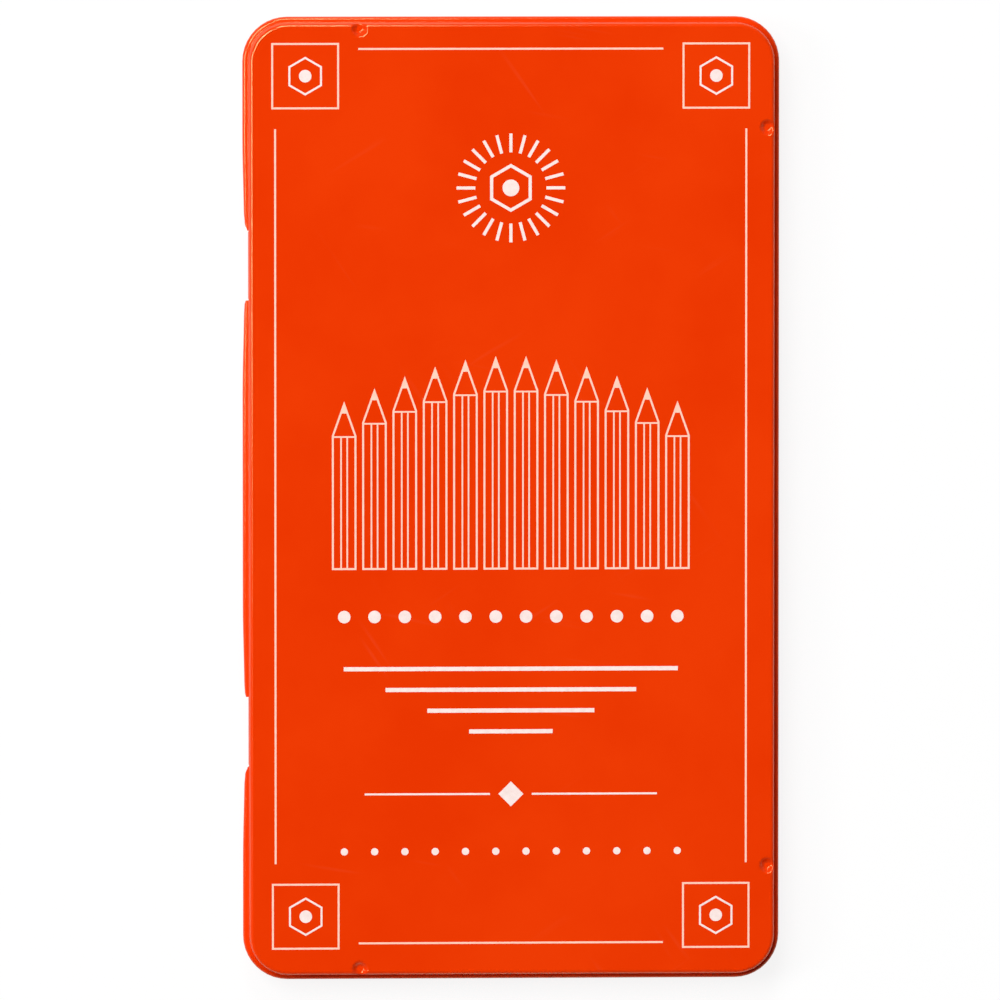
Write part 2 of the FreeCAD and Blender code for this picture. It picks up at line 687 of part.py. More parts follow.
def make_casing(name, number):
    body = new_body(name)
    section = new_sketch(body, f"{name}_section", "XZ_Plane", "derived.pencil_half")
    polygon(section, PENCIL_SIDES, "derived.pencil_sharp")
    bar = pad(body, section, "sizes.pencil_length", backwards=True)
    rounding = body.newObject("PartDesign::Fillet", f"{name}_rounding")
    rounding.Base = (bar, long_edges(bar))
    bind(rounding, Radius="sizes.pencil_edge")
    DOC.recompute()
    waste = new_sketch(body, f"{name}_waste", "YZ_Plane")
    reach = "(sizes.pencil_flats - sizes.tip_flat / 2) * derived.tip_run"
    outline(
        waste,
        [
            ("derived.pencil_half", "sizes.tip_flat / 2"),
            ("derived.pencil_half", "sizes.pencil_flats"),
            (f"derived.pencil_half - {reach}", "sizes.pencil_flats"),
        ],
    )
    point = body.newObject("PartDesign::Groove", f"{name}_point")
    point.Profile = waste
    point.ReferenceAxis = (waste, ["H_Axis"])
    DOC.recompute()
    opening = new_sketch(body, f"{name}_opening", "XZ_Plane", "derived.pencil_half")
    circle(opening, "0", "0", "derived.bore_radius")
    bore = body.newObject("PartDesign::Pocket", f"{name}_bore")
    bore.Profile = opening
    bore.Type = "ThroughAll"
    return place(body, row_place(number), "0", "derived.axis_height")


def make_core(name, number):
    body = new_body(name)
    profile = new_sketch(body, f"{name}_profile", "YZ_Plane")
    cone = "(derived.core_radius - sizes.tip_flat / 2) * derived.tip_run"
    outline(
        profile,
        [
            ("-derived.pencil_half", "0"),
            ("derived.pencil_half", "0"),
            ("derived.pencil_half", "sizes.tip_flat / 2"),
            (f"derived.pencil_half - {cone}", "derived.core_radius"),
            ("-derived.pencil_half", "derived.core_radius"),
        ],
    )
    turned = body.newObject("PartDesign::Revolution", f"{name}_turned")
    turned.Profile = profile
    turned.ReferenceAxis = (profile, ["H_Axis"])
    return place(body, row_place(number), "0", "derived.axis_height")


def check_document():
    for item in DOC.Objects:
        if "Invalid" in item.State or "Error" in item.State:
            raise RuntimeError(f"{item.Label} is not built: {item.State}")


def write_parts(parts):
    os.makedirs("parts", exist_ok=True)
    for part in parts:
        shape = part.Shape
        if shape.isNull() or not shape.isValid() or len(shape.Solids) != 1:
            raise RuntimeError(f"{part.Label} is not one sound solid")
    for part in parts:
        part.Shape.exportStep(f"parts/{part.Label}.step")


DOC = FreeCAD.newDocument("pencil_tin")
make_sheet("sizes", SIZES)
make_sheet("derived", DERIVED)
NODES = [make_lid(), make_base(), make_tray()]
NODES += [make_pin("hinge_pin_upper", 1), make_pin("hinge_pin_lower", -1)]
for pencil in range(PENCILS):
    NODES.append(make_casing(f"pencil_{pencil + 1:02d}_casing", pencil))
    NODES.append(make_core(f"pencil_{pencil + 1:02d}_core", pencil))
DOC.recompute()
check_document()
write_parts(NODES)
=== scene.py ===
import math

import bmesh
import bpy
from mathutils import Euler, Matrix, Vector


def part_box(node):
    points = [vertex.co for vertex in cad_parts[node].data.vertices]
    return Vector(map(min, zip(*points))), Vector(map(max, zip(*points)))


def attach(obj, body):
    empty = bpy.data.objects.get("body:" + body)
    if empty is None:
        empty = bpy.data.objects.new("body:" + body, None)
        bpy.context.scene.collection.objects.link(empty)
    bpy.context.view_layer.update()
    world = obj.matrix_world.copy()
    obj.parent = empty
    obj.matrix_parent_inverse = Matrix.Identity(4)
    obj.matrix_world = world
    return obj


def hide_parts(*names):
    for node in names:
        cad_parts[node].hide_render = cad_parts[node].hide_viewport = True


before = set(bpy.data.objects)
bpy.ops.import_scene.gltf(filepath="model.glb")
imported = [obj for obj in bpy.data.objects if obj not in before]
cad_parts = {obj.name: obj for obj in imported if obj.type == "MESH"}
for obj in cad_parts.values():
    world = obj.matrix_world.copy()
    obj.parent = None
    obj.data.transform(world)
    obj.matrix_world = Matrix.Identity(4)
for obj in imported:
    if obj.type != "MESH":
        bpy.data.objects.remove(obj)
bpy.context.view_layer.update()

# Sizes in millimetres. They are those of the solids, but the dents' places differ by tenths.
MM = 0.001
SHEET = 0.25
HINGES = (44.65, -44.65)
WINDOW = 6.7
PIN_X, PIN_Z = -49.448, 5.002


def farthest(node):
    """Highest corner of a node's box."""
    return Vector(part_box(node)[1]) / MM


# The lid: outer face of its skirt. Its print lies within the last hundredths of its height.
CURL_Z, CURL, CURL_ROOT = 7.102, 0.7, 0.2
CURL_OUT = CURL - SHEET
LID_X = farthest("lid").x - CURL_OUT - CURL
LID_Y = farthest("lid").y - CURL_OUT - CURL
SKIRT_FOOT = CURL_Z + math.sqrt((CURL + CURL_ROOT) ** 2 - (CURL_OUT - CURL_ROOT) ** 2)
FLARE = 90 + math.degrees(math.asin((CURL_OUT - CURL_ROOT) / (CURL + CURL_ROOT)))
LID_CORNER = 7.35
INK = 0.016
INK_SUNK = 0.004
LID_FACE = farthest("lid").z - INK
LID_EDGE = 0.8
LID_BAND = 6.0
TONGUE = 6.4
CURL_SLANT, SLANT_RUN = 1.58, 4.0
# Towards its gaps the curl grows narrower, over these runs and by these shares.
GAP_RUN, GAP_NARROW = 18.0, 0.26
GAP_END_RUN, GAP_END_NARROW = 3.0, 0.1
SQUARE_END_RUN, SQUARE_END_NARROW = 0.7, 0.15
GAP_STEPS = (0, 0.2, 0.4, 0.7, 1.1, 1.6, 2.2, 3.0, 4.0, 6.0, 9.0, 12.0, 15.0, GAP_RUN)
# The dents: radius, floor and depth, insets from the edge, reach down the skirt, places along it.
DENT, DENT_FLOOR, DENT_DEPTH = 1.7, 0.45, 0.8
END_DENT_INSET, FRONT_DENT_INSET = 1.1, 1.35
DENT_HOLD, DENT_HOLD_STEPS = 1.25, 6
END_DENT, FRONT_DENTS = -29.2, (-70.35, 71.05)

# The base: outer face of its wall.
BASE_X, BASE_Y, BASE_CORNER = farthest("base_pan").x, farthest("base_pan").y, 6.75
BASE_BAND = 6.2
FLOOR_RAISE = 0.6
FOOT_IN, FOOT_OUT = 4.5, 1.5
RIM_Z, RIM = 10.152, 0.6
WINDOW_LOW, WINDOW_HIGH = 3.502, 6.102
KNUCKLE, KNUCKLE_LONG, KNUCKLE_SLOT = 0.76, 2.5, 0.62
KNUCKLE_EDGE = 0.05
TRAY_EDGE = 0.22

# The pencils: points towards +Y, one flat up.
PENCILS = 12
PITCH = 7.7044
AXIS_Z = 5.452
PENCIL_HALF = 87.0
FLATS = 6.4
EDGE_ROUND = 0.6
BORE, CORE = 1.52, 1.5
POINT, POINT_EDGE = 0.25, 0.1
CONE_RUN = 5.967


def mm(*values):
    return tuple(value * MM for value in values)


# Modelling by hand.


def clear_selection():
    if bpy.context.mode != "OBJECT":
        bpy.ops.object.mode_set(mode="OBJECT")
    bpy.ops.object.select_all(action="DESELECT")


def take(piece, edit=False):
    """Makes one piece the only selected one."""
    clear_selection()
    piece.select_set(True)
    bpy.context.view_layer.objects.active = piece
    if edit:
        bpy.ops.object.mode_set(mode="EDIT")
        bpy.ops.mesh.select_mode(type="VERT")
        bpy.ops.mesh.select_all(action="SELECT")
    return piece


def named(name):
    """Names the new primitive and lays its place into its mesh."""
    piece = bpy.context.object
    piece.name = name
    piece.data.name = name
    bpy.ops.object.transform_apply(location=True, rotation=True, scale=True)
    return piece


def choose(piece, kind, test):
    """In edit mode, selects the points, edges or faces that pass the test."""
    bpy.ops.mesh.select_mode(type=kind)
    bpy.ops.mesh.select_all(action="DESELECT")
    mesh = bmesh.from_edit_mesh(piece.data)
    mesh.normal_update()
    items = {"VERT": mesh.verts, "EDGE": mesh.edges, "FACE": mesh.faces}[kind]
    for item in items:
        if test(item):
            item.select_set(True)
    mesh.select_flush_mode()
    bmesh.update_edit_mesh(piece.data)


def middle(item):
    """Middle of an edge or a face, in millimetres."""
    points = [corner.co for corner in item.verts]
    return sum(points, Vector()) / len(points) / MM


def push(x=0.0, y=0.0, z=0.0):
    bpy.ops.mesh.extrude_region_move(TRANSFORM_OT_translate={"value": mm(x, y, z)})


def roll(angle, centre, axis, steps):
    """Spins the selection by the right-hand rule, which the operator turns round."""
    bpy.ops.mesh.spin(
        steps=steps, angle=-math.radians(angle), center=mm(*centre), axis=axis
    )


def merge():
    bpy.ops.mesh.select_all(action="SELECT")
    bpy.ops.mesh.remove_doubles(threshold=0.002 * MM)


def modify(piece, kind, **settings):
    """Adds a modifier and applies it."""
    take(piece)
    modifier = piece.modifiers.new(kind.lower(), kind)
    for name, setting in settings.items():
        setattr(modifier, name, setting)
    bpy.ops.object.modifier_apply(modifier=modifier.name)


def smooth(piece, angle=35):
    take(piece)
    bpy.ops.object.shade_smooth_by_angle(angle=math.radians(angle))


def join(first, *others):
    clear_selection()
    for piece in (first, *others):
        piece.select_set(True)
    bpy.context.view_layer.objects.active = first
    bpy.ops.object.join()
    return first


def copy_of(piece, name, x=0.0, y=0.0, z=0.0):
    twin = piece.copy()
    twin.data = piece.data.copy()
    twin.name = name
    twin.data.name = name
    bpy.context.collection.objects.link(twin)
    twin.data.transform(Matrix.Translation(mm(x, y, z)))
    return twin


def ease(value):
    value = min(max(value, 0.0), 1.0)
    return value * value * (3 - 2 * value)


# Sheet metal: a section is drawn point by point and carried round the tin.


def start_section(name, x, y, z):
    clear_selection()
    bpy.ops.mesh.primitive_plane_add(size=MM, location=mm(x, y, z))
    piece = named(name)
    take(piece, edit=True)
    bpy.ops.mesh.merge(type="CENTER")
    return piece


def carry_round(half_x, half_y, corner, stops):
    """Carries the section anticlockwise from the foot of the front side."""
    inner_x, inner_y = half_x - corner, half_y - corner
    ways = ((0, 1), (-1, 0), (0, -1), (1, 0))
    turns = ((1, 1), (-1, 1), (-1, -1), (1, -1))
    bpy.ops.mesh.select_all(action="SELECT")
    for way, turn, marks in zip(ways, turns, stops):
        end = inner_y if way[1] else inner_x
        at = -end
        for mark in sorted(marks) + [end]:
            push((mark - at) * way[0], (mark - at) * way[1])
            at = mark
        roll(90, (turn[0] * inner_x, turn[1] * inner_y, 0), (0, 0, 1), 10)
    merge()


def close_panel(piece, half_x, half_y, band):
    """Fills the loop inside the band with one flat face."""
    def inside(point):
        x, y, _ = point.co / MM
        return abs(x) < half_x - band + 0.01 and abs(y) < half_y - band + 0.01

    choose(piece, "VERT", inside)
    bpy.ops.mesh.edge_face_add()


def face_out(piece, up):
    """Turns all faces out; the panel's own face tells which way that is."""
    bpy.ops.mesh.select_mode(type="FACE")
    bpy.ops.mesh.select_all(action="SELECT")
    bpy.ops.mesh.normals_make_consistent(inside=False)
    mesh = bmesh.from_edit_mesh(piece.data)
    panel = max(mesh.faces, key=lambda face: face.calc_area())
    if panel.normal.z * up < 0:
        bpy.ops.mesh.flip_normals()


def press_lid():
    foot = -(LID_Y - LID_CORNER)
    lid = start_section("lid_pressing", LID_X - LID_BAND, foot, LID_FACE)
    inside = LID_X - FRONT_DENT_INSET - 1.1 * DENT
    fine_steps = 22
    push(inside - LID_X + LID_BAND)
    for _ in range(fine_steps):
        push((LID_X - LID_EDGE - inside) / fine_steps)
    roll(90, (LID_X - LID_EDGE, foot, LID_FACE - LID_EDGE), (0, 1, 0), 14)
    for _ in range(DENT_HOLD_STEPS):
        push(z=-DENT_HOLD / DENT_HOLD_STEPS)
    push(z=SKIRT_FOOT - LID_FACE + LID_EDGE + DENT_HOLD)
    roll(-FLARE, (LID_X + CURL_ROOT, foot, SKIRT_FOOT), (0, 1, 0), 7)
    roll(FLARE + 180, (LID_X + CURL_OUT, foot, CURL_Z), (0, 1, 0), 24)
    fine = [DENT * n / 16 for n in range(-17, 18)]
    front = [place + step for place in FRONT_DENTS for step in fine]
    back = []
    for hinge in HINGES:
        for past in (TONGUE - WINDOW, *GAP_STEPS):
            back += [hinge - WINDOW - past, hinge + WINDOW + past]
    far_end = [-END_DENT + step for step in fine]
    near_end = [END_DENT + step for step in fine]
    carry_round(LID_X, LID_Y, LID_CORNER, (front, far_end, back, near_end))
    close_panel(lid, LID_X, LID_Y, LID_BAND)
    cut_lid_windows(lid)
    press_dents(lid)
    face_out(lid, 1)
    modify(lid, "SOLIDIFY", thickness=SHEET * MM, offset=-1, use_even_offset=True)
    smooth(lid)
    return lid


def cut_lid_windows(lid):
    """Opens the curl at both hinges and rolls a tongue of the skirt round each pin.

    The curl grows narrower towards its gaps. It is cut off on the slant at the outer ends,
    and square at the inner ones."""
    def in_window(face):
        x, y, z = middle(face)
        beside = any(abs(y - hinge) < WINDOW for hinge in HINGES)
        return beside and x < -LID_X + 0.5 and z < SKIRT_FOOT

    choose(lid, "FACE", in_window)
    bpy.ops.mesh.delete(type="FACE")
    for hinge in HINGES:
        def on_foot(edge):
            x, y, z = middle(edge)
            level = abs(z - SKIRT_FOOT) < 0.01 and abs(x + LID_X) < 0.01
            return level and abs(y - hinge) < TONGUE

        choose(lid, "EDGE", on_foot)
        push(z=PIN_Z - SKIRT_FOOT)
        roll(-270, (PIN_X, hinge, PIN_Z), (0, 1, 0), 18)
    mesh = bmesh.from_edit_mesh(lid.data)
    for point in mesh.verts:
        x, y, z = point.co / MM
        out = -x - LID_X
        gone = min(abs(y - hinge) for hinge in HINGES) - WINDOW
        if z > SKIRT_FOOT + 0.01 or out < -2 * SHEET or not -0.01 < gone < GAP_RUN:
            continue
        narrow = 1 - GAP_NARROW * (1 - ease(gone / GAP_RUN))
        narrow -= GAP_END_NARROW * (1 - ease(gone / GAP_END_RUN))
        if abs(y) > HINGES[0]:
            turned = (FLARE - math.degrees(math.atan2(z - CURL_Z, out - CURL_OUT))) % 360
            slant = CURL_SLANT * min(turned / FLARE, 1) if turned < FLARE + 181 else 0
            point.co.y += math.copysign(slant * (1 - min(gone / SLANT_RUN, 1)) * MM, y)
        else:
            narrow -= SQUARE_END_NARROW * (1 - ease(gone / SQUARE_END_RUN))
        if out > 0:
            point.co.x = -(LID_X + out * narrow) * MM
    bmesh.update_edit_mesh(lid.data)


def press_dents(lid):
    """Presses the four round dents that rest over the rim of the base."""
    mesh = bmesh.from_edit_mesh(lid.data)
    end_y, front_x = LID_Y - END_DENT_INSET, LID_X - FRONT_DENT_INSET
    skirt_top = LID_FACE - LID_EDGE
    for point in mesh.verts:
        x, y, z = point.co / MM
        end = math.hypot(x - END_DENT, abs(y) - end_y)
        front = math.hypot(min(abs(y - place) for place in FRONT_DENTS), x - front_x)
        near = min(end, front)
        if near < DENT:
            held = ease((z - skirt_top + DENT_HOLD) / DENT_HOLD)
            wall = ease((near - DENT_FLOOR) / (DENT - DENT_FLOOR))
            point.co.z -= DENT_DEPTH * (1 - wall) * held * MM
    bmesh.update_edit_mesh(lid.data)


def press_base():
    foot = -(BASE_Y - BASE_CORNER)
    base = start_section("base_pressing", BASE_X - BASE_BAND, foot, FLOOR_RAISE)
    bend = FLOOR_RAISE / 2
    slope = math.sqrt(2) * bend
    push(BASE_BAND - FOOT_IN - 2 * slope)
    roll(45, (BASE_X - FOOT_IN - 2 * slope, foot, FLOOR_RAISE - bend), (0, 1, 0), 4)
    push(slope, z=-slope)
    roll(-45, (BASE_X - FOOT_IN, foot, bend), (0, 1, 0), 4)
    push(FOOT_IN - FOOT_OUT)
    roll(-90, (BASE_X - FOOT_OUT, foot, FOOT_OUT), (0, 1, 0), 8)
    at = FOOT_OUT
    for mark in (
        WINDOW_LOW,
        PIN_Z - KNUCKLE_SLOT,
        PIN_Z + KNUCKLE_SLOT,
        WINDOW_HIGH,
        RIM_Z,
    ):
        push(z=mark - at)
        at = mark
    roll(-270, (BASE_X - RIM, foot, RIM_Z), (0, 1, 0), 18)
    back = []
    for hinge in HINGES:
        for side in (-1, 1):
            back += [hinge + side * WINDOW, hinge + side * (WINDOW + KNUCKLE_LONG)]
    carry_round(BASE_X, BASE_Y, BASE_CORNER, ([], [], back, []))
    close_panel(base, BASE_X, BASE_Y, BASE_BAND)

    def open_face(face):
        x, y, z = middle(face)
        gone = min(abs(y - hinge) for hinge in HINGES)
        window = gone < WINDOW and WINDOW_LOW < z < WINDOW_HIGH
        slot = gone < WINDOW + KNUCKLE_LONG and abs(z - PIN_Z) < KNUCKLE_SLOT
        return x < -BASE_X + 0.1 and (window or slot)

    choose(base, "FACE", open_face)
    bpy.ops.mesh.delete(type="FACE")
    face_out(base, -1)
    modify(base, "SOLIDIFY", thickness=SHEET * MM, offset=-1, use_even_offset=True)
    knuckles = [
        roll_knuckle(hinge + side * (WINDOW + KNUCKLE_LONG / 2))
        for hinge in HINGES
        for side in (-1, 1)
    ]
    join(base, *knuckles)
    smooth(base)
    return base


def roll_knuckle(y):
    clear_selection()
    bpy.ops.mesh.primitive_cylinder_add(
        vertices=40,
        radius=KNUCKLE * MM,
        depth=KNUCKLE_LONG * MM,
        end_fill_type="NOTHING",
        location=mm(PIN_X, y, PIN_Z),
        rotation=(math.pi / 2, 0, 0),
    )
    knuckle = named("knuckle")
    modify(knuckle, "SOLIDIFY", thickness=SHEET * MM, offset=-1)
    modify(knuckle, "BEVEL", width=KNUCKLE_EDGE * MM, segments=2, limit_method="ANGLE")
    return knuckle


# The tray: the solid with its hard edges drawn soft, as heat leaves them.


def form_tray():
    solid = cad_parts["tray"]
    tray = bpy.data.objects.new("formed_tray", solid.data.copy())
    tray.data.name = "formed_tray"
    bpy.context.collection.objects.link(tray)
    take(tray, edit=True)
    bpy.ops.mesh.customdata_custom_splitnormals_clear()
    merge()
    bpy.ops.mesh.dissolve_limited(angle_limit=math.radians(0.5))
    modify(
        tray,
        "BEVEL",
        width=TRAY_EDGE * MM,
        segments=3,
        limit_method="ANGLE",
        angle_limit=math.radians(40),
    )
    smooth(tray, 40)
    return tray


# The pencils.


def shape_casing():
    """One sharpened casing on the axis x = 0."""
    clear_selection()
    bpy.ops.mesh.primitive_cylinder_add(
        vertices=6,
        radius=FLATS / math.sqrt(3) * MM,
        depth=2 * PENCIL_HALF * MM,
        location=mm(0, 0, AXIS_Z),
        rotation=(math.pi / 2, math.pi / 6, 0),
    )
    casing = named("casing")
    take(casing, edit=True)

    def lengthwise(edge):
        way = edge.verts[0].co - edge.verts[1].co
        return abs(way.y) > PENCIL_HALF * MM

    choose(casing, "EDGE", lengthwise)
    bpy.ops.mesh.bevel(
        offset=EDGE_ROUND * math.tan(math.pi / 6) * MM, segments=4, affect="EDGES"
    )
    clear_selection()
    apex = PENCIL_HALF + POINT * CONE_RUN
    length = apex + PENCIL_HALF + 5
    bpy.ops.mesh.primitive_cone_add(
        vertices=96,
        radius1=length / CONE_RUN * MM,
        radius2=0,
        depth=length * MM,
        location=mm(0, apex - length / 2, AXIS_Z),
        rotation=(-math.pi / 2, 0, 0),
    )
    sharpener = named("sharpener")
    bpy.ops.mesh.primitive_cylinder_add(
        vertices=48,
        radius=BORE * MM,
        depth=2.2 * PENCIL_HALF * MM,
        location=mm(0, 0, AXIS_Z),
        rotation=(math.pi / 2, 0, 0),
    )
    drill = named("drill")
    modify(casing, "BOOLEAN", object=sharpener, operation="INTERSECT", solver="EXACT")
    modify(casing, "BOOLEAN", object=drill, operation="DIFFERENCE", solver="EXACT")
    for tool in (sharpener, drill):
        bpy.data.objects.remove(tool)
    for face in casing.data.polygons:
        face.material_index = int(abs(face.normal.y) > 0.05)
    smooth(casing)
    take(casing, edit=True)

    def scallop(edge):
        return len({face.material_index for face in edge.link_faces}) > 1

    choose(casing, "EDGE", scallop)
    bpy.ops.mesh.mark_sharp()
    modify(casing, "WEIGHTED_NORMAL", keep_sharp=True)
    return casing


def shape_core():
    """The core of that pencil, with its blunted point."""
    clear_selection()
    apex = PENCIL_HALF + POINT * CONE_RUN
    neck = apex - CORE * CONE_RUN
    bpy.ops.mesh.primitive_cylinder_add(
        vertices=48,
        radius=CORE * MM,
        depth=(neck + PENCIL_HALF) * MM,
        location=mm(0, (neck - PENCIL_HALF) / 2, AXIS_Z),
        rotation=(math.pi / 2, 0, 0),
    )
    core = named("core")
    take(core, edit=True)
    choose(core, "FACE", lambda face: face.normal.y > 0.9)
    push(y=PENCIL_HALF - neck)
    bpy.ops.transform.resize(value=(POINT / CORE, 1, POINT / CORE))

    def tip(edge):
        return all(corner.co.y > (PENCIL_HALF - 0.01) * MM for corner in edge.verts)

    choose(core, "EDGE", tip)
    bpy.ops.mesh.bevel(offset=POINT_EDGE * MM, segments=3, affect="EDGES")
    smooth(core)
    return core


# The print: white ink, drawn flat on the lid's face and then given its thickness.
STROKE = 0.37
PRINT_X, PRINT_Y = -0.28, 0.58
RULE_X, RULE_Y = 45.05, 85.57
SIDE_RULE, END_RULE = 140.6, 58.3
SQUARE_X, SQUARE_Y = 39.3, 80.4
SQUARE_WIDE, SQUARE_HIGH = 12.95, 12.65
ICON_PITCH = 5.8


def start_print(name):
    clear_selection()
    bpy.ops.object.add(type="MESH", enter_editmode=True)
    piece = bpy.context.object
    piece.name = name
    piece.data.name = name
    bpy.ops.mesh.select_mode(type="FACE")
    return piece


def ink_bar(x, y, wide, high):
    spot = mm(x, y, LID_FACE - INK_SUNK)
    bpy.ops.mesh.primitive_plane_add(size=MM, location=spot)
    bpy.ops.transform.resize(value=(wide, high, 1), center_override=spot)


def ink_disc(x, y, radius, sides=40):
    bpy.ops.mesh.primitive_circle_add(
        vertices=sides,
        radius=radius * MM,
        fill_type="NGON",
        location=mm(x, y, LID_FACE - INK_SUNK),
    )


def hollow(stroke):
    """Leaves only an outline of the shape just drawn."""
    bpy.ops.mesh.inset(thickness=stroke * MM)
    bpy.ops.mesh.delete(type="FACE")


def dry(piece):
    """Turns the drawing face up, moves it to its place and gives the ink its thickness."""
    choose(piece, "FACE", lambda face: face.normal.z < 0)
    bpy.ops.mesh.flip_normals()
    bpy.ops.mesh.select_all(action="SELECT")
    bpy.ops.transform.translate(value=mm(PRINT_X, PRINT_Y, 0))
    modify(piece, "SOLIDIFY", thickness=(INK + INK_SUNK) * MM, offset=1)
    return piece


def in_row(number):
    """Place of one of twelve motifs side by side."""
    return (number - (PENCILS - 1) / 2) * ICON_PITCH


def print_border():
    border = start_print("printed_border")
    for side in (-1, 1):
        ink_bar(0, side * RULE_Y, END_RULE, STROKE)
        ink_bar(side * RULE_X, 0, STROKE, SIDE_RULE)
        for end in (-1, 1):
            ink_bar(side * SQUARE_X, end * SQUARE_Y, SQUARE_WIDE, SQUARE_HIGH)
            hollow(STROKE)
    return dry(border)


def print_badges():
    """The end of a six-sided pencil in each corner square."""
    badges = start_print("printed_badges")
    hexagon, dot = 3.7, 1.2
    for side in (-1, 1):
        for end in (-1, 1):
            ink_disc(side * SQUARE_X, end * SQUARE_Y, hexagon, sides=6)
            hollow(STROKE)
            ink_disc(side * SQUARE_X, end * SQUARE_Y, dot)
    return dry(badges)


def draw_upright(row, x, foot, high):
    """Outline of an upright pencil with a shoulder line, two facet lines and a filled tip."""
    wide, cone, tip, facet = 4.7, 4.4, 2.2, 0.3
    shoulder = foot + high

    def edge_at(height):
        def test(edge):
            place = middle(edge)
            level = abs(edge.verts[0].co.y - edge.verts[1].co.y) < 0.01 * MM
            return level and abs(place.y - height) < 0.05 and abs(place.x - x) < 0.05

        return test

    ink_bar(x, foot + high / 2, wide, high)
    choose(row, "EDGE", edge_at(shoulder))
    push(y=STROKE)
    push(y=cone)
    narrow = tip / (tip + cone)
    bpy.ops.transform.resize(value=(narrow, 1, 1), center_override=mm(x, shoulder + STROKE + cone, 0))
    push(y=tip)
    bpy.ops.mesh.merge(type="CENTER")
    choose(row, "FACE", lambda face: abs(middle(face).x - x) < wide / 2)
    bpy.ops.mesh.inset(thickness=STROKE * MM)

    def blank(face):
        place = middle(face)
        body = foot + STROKE < place.y < shoulder
        point = shoulder + STROKE < place.y < shoulder + STROKE + cone
        return abs(place.x - x) < 0.1 and (body or point)

    choose(row, "FACE", blank)
    bpy.ops.mesh.delete(type="FACE")
    for side in (-1, 1):
        ink_bar(x + side * wide / 8, (foot + STROKE + shoulder) / 2, facet, high - STROKE)


def print_upright_row():
    row = start_print("printed_upright_row")
    foot, shortest, arch = -14.0, 24.0, 10.0
    for number in range(PENCILS):
        rise = math.sin(math.pi * (number + 0.5) / PENCILS)
        draw_upright(row, in_row(number), foot, shortest + arch * rise)
    return dry(row)


def print_rays():
    """A ring of short rays round a hexagon and a dot."""
    rays = start_print("printed_rays")
    height, ring, hexagon, dot = 59.0, 8.6, 4.6, 1.6
    ray_wide, ray_long = 0.6, 3.6
    ink_bar(0, height + ring, ray_wide, ray_long)
    bpy.ops.mesh.spin(
        steps=24, dupli=True, angle=2 * math.pi, center=mm(0, height, 0), axis=(0, 0, 1)
    )
    merge()
    bpy.ops.mesh.select_mode(type="FACE")
    ink_disc(0, height, hexagon, sides=6)
    hollow(ray_wide)
    ink_disc(0, height, dot)
    return dry(rays)


def print_foot():
    """Twelve dots, a stack of rules that grow shorter, and a diamond between two rules."""
    foot = start_print("printed_foot")
    dots_y, dot, small_dots_y, small_dot = -23.0, 1.2, -68.0, 0.7
    rule, rules = 0.8, ((-33.0, 64.0), (-37.0, 48.0), (-41.0, 32.0), (-45.0, 16.0))
    diamond_y, diamond, beside, beside_wide = -57.0, 2.4, 16.0, 24.0
    for number in range(PENCILS):
        ink_disc(in_row(number), dots_y, dot)
    for y, wide in rules:
        ink_bar(0, y, wide, rule)
    ink_disc(0, diamond_y, diamond, sides=4)
    for side in (-1, 1):
        ink_bar(side * beside, diamond_y, beside_wide, STROKE)
    for number in range(PENCILS):
        ink_disc(in_row(number), small_dots_y, small_dot)
    return dry(foot)


# Materials.


def linear(red, green, blue):
    """Colour as seen on a screen, 0 to 255, in Blender's own scale."""
    def one(value):
        value /= 255
        return value / 12.92 if value <= 0.04045 else ((value + 0.055) / 1.055) ** 2.4

    return one(red), one(green), one(blue), 1.0


def add_node(tree, kind, settings=None, **sockets):
    item = tree.nodes.new(kind)
    for name, setting in (settings or {}).items():
        setattr(item, name, setting)
    for name, value in sockets.items():
        feed(tree, item.inputs[name.replace("_", " ")], value)
    return item


def feed(tree, socket, value):
    if isinstance(value, bpy.types.NodeSocket):
        tree.links.new(value, socket)
    else:
        socket.default_value = value


def noise(tree, place, scale, detail=2.0, roughness=0.5):
    item = add_node(
        tree, "ShaderNodeTexNoise", Vector=place, Scale=scale, Detail=detail, Roughness=roughness
    )
    return item.outputs["Fac"]


def ramp(tree, value, low, high, to_low=0.0, to_high=1.0):
    item = add_node(tree, "ShaderNodeMapRange", Value=value)
    ends = {"From Min": low, "From Max": high, "To Min": to_low, "To Max": to_high}
    for name, setting in ends.items():
        feed(tree, item.inputs[name], setting)
    return item.outputs["Result"]


def combine(tree, operation, first, second):
    item = add_node(tree, "ShaderNodeMath", {"operation": operation})
    feed(tree, item.inputs[0], first)
    feed(tree, item.inputs[1], second)
    return item.outputs[0]


def mixed(tree, factor, first, second):
    item = add_node(tree, "ShaderNodeMix", {"data_type": "RGBA"})
    for index, value in ((0, factor), (6, first), (7, second)):
        feed(tree, item.inputs[index], value)
    return item.outputs[2]


def tinged(tree, mask, share, colour, tinge):
    """Lets a share of another colour through where the mask is."""
    return mixed(tree, combine(tree, "MULTIPLY", mask, share), colour, tinge)


def stretched(tree, place, length, turn=0.0):
    """Draws a pattern out along Y by the given length, then turns it."""
    item = add_node(
        tree,
        "ShaderNodeMapping",
        {"vector_type": "TEXTURE"},
        Vector=place,
        Scale=(1, length, 1),
        Rotation=(0, 0, turn),
    )
    return item.outputs["Vector"]


def new_group(name, scales, masks):
    """A group that takes a place and some scales and puts out masks."""
    tree = bpy.data.node_groups.new(name, "ShaderNodeTree")
    tree.interface.new_socket(name="Vector", in_out="INPUT", socket_type="NodeSocketVector")
    for way, sockets in (("INPUT", scales), ("OUTPUT", masks)):
        for socket in sockets:
            tree.interface.new_socket(name=socket, in_out=way, socket_type="NodeSocketFloat")
    return tree, tree.nodes.new("NodeGroupInput").outputs, tree.nodes.new("NodeGroupOutput")


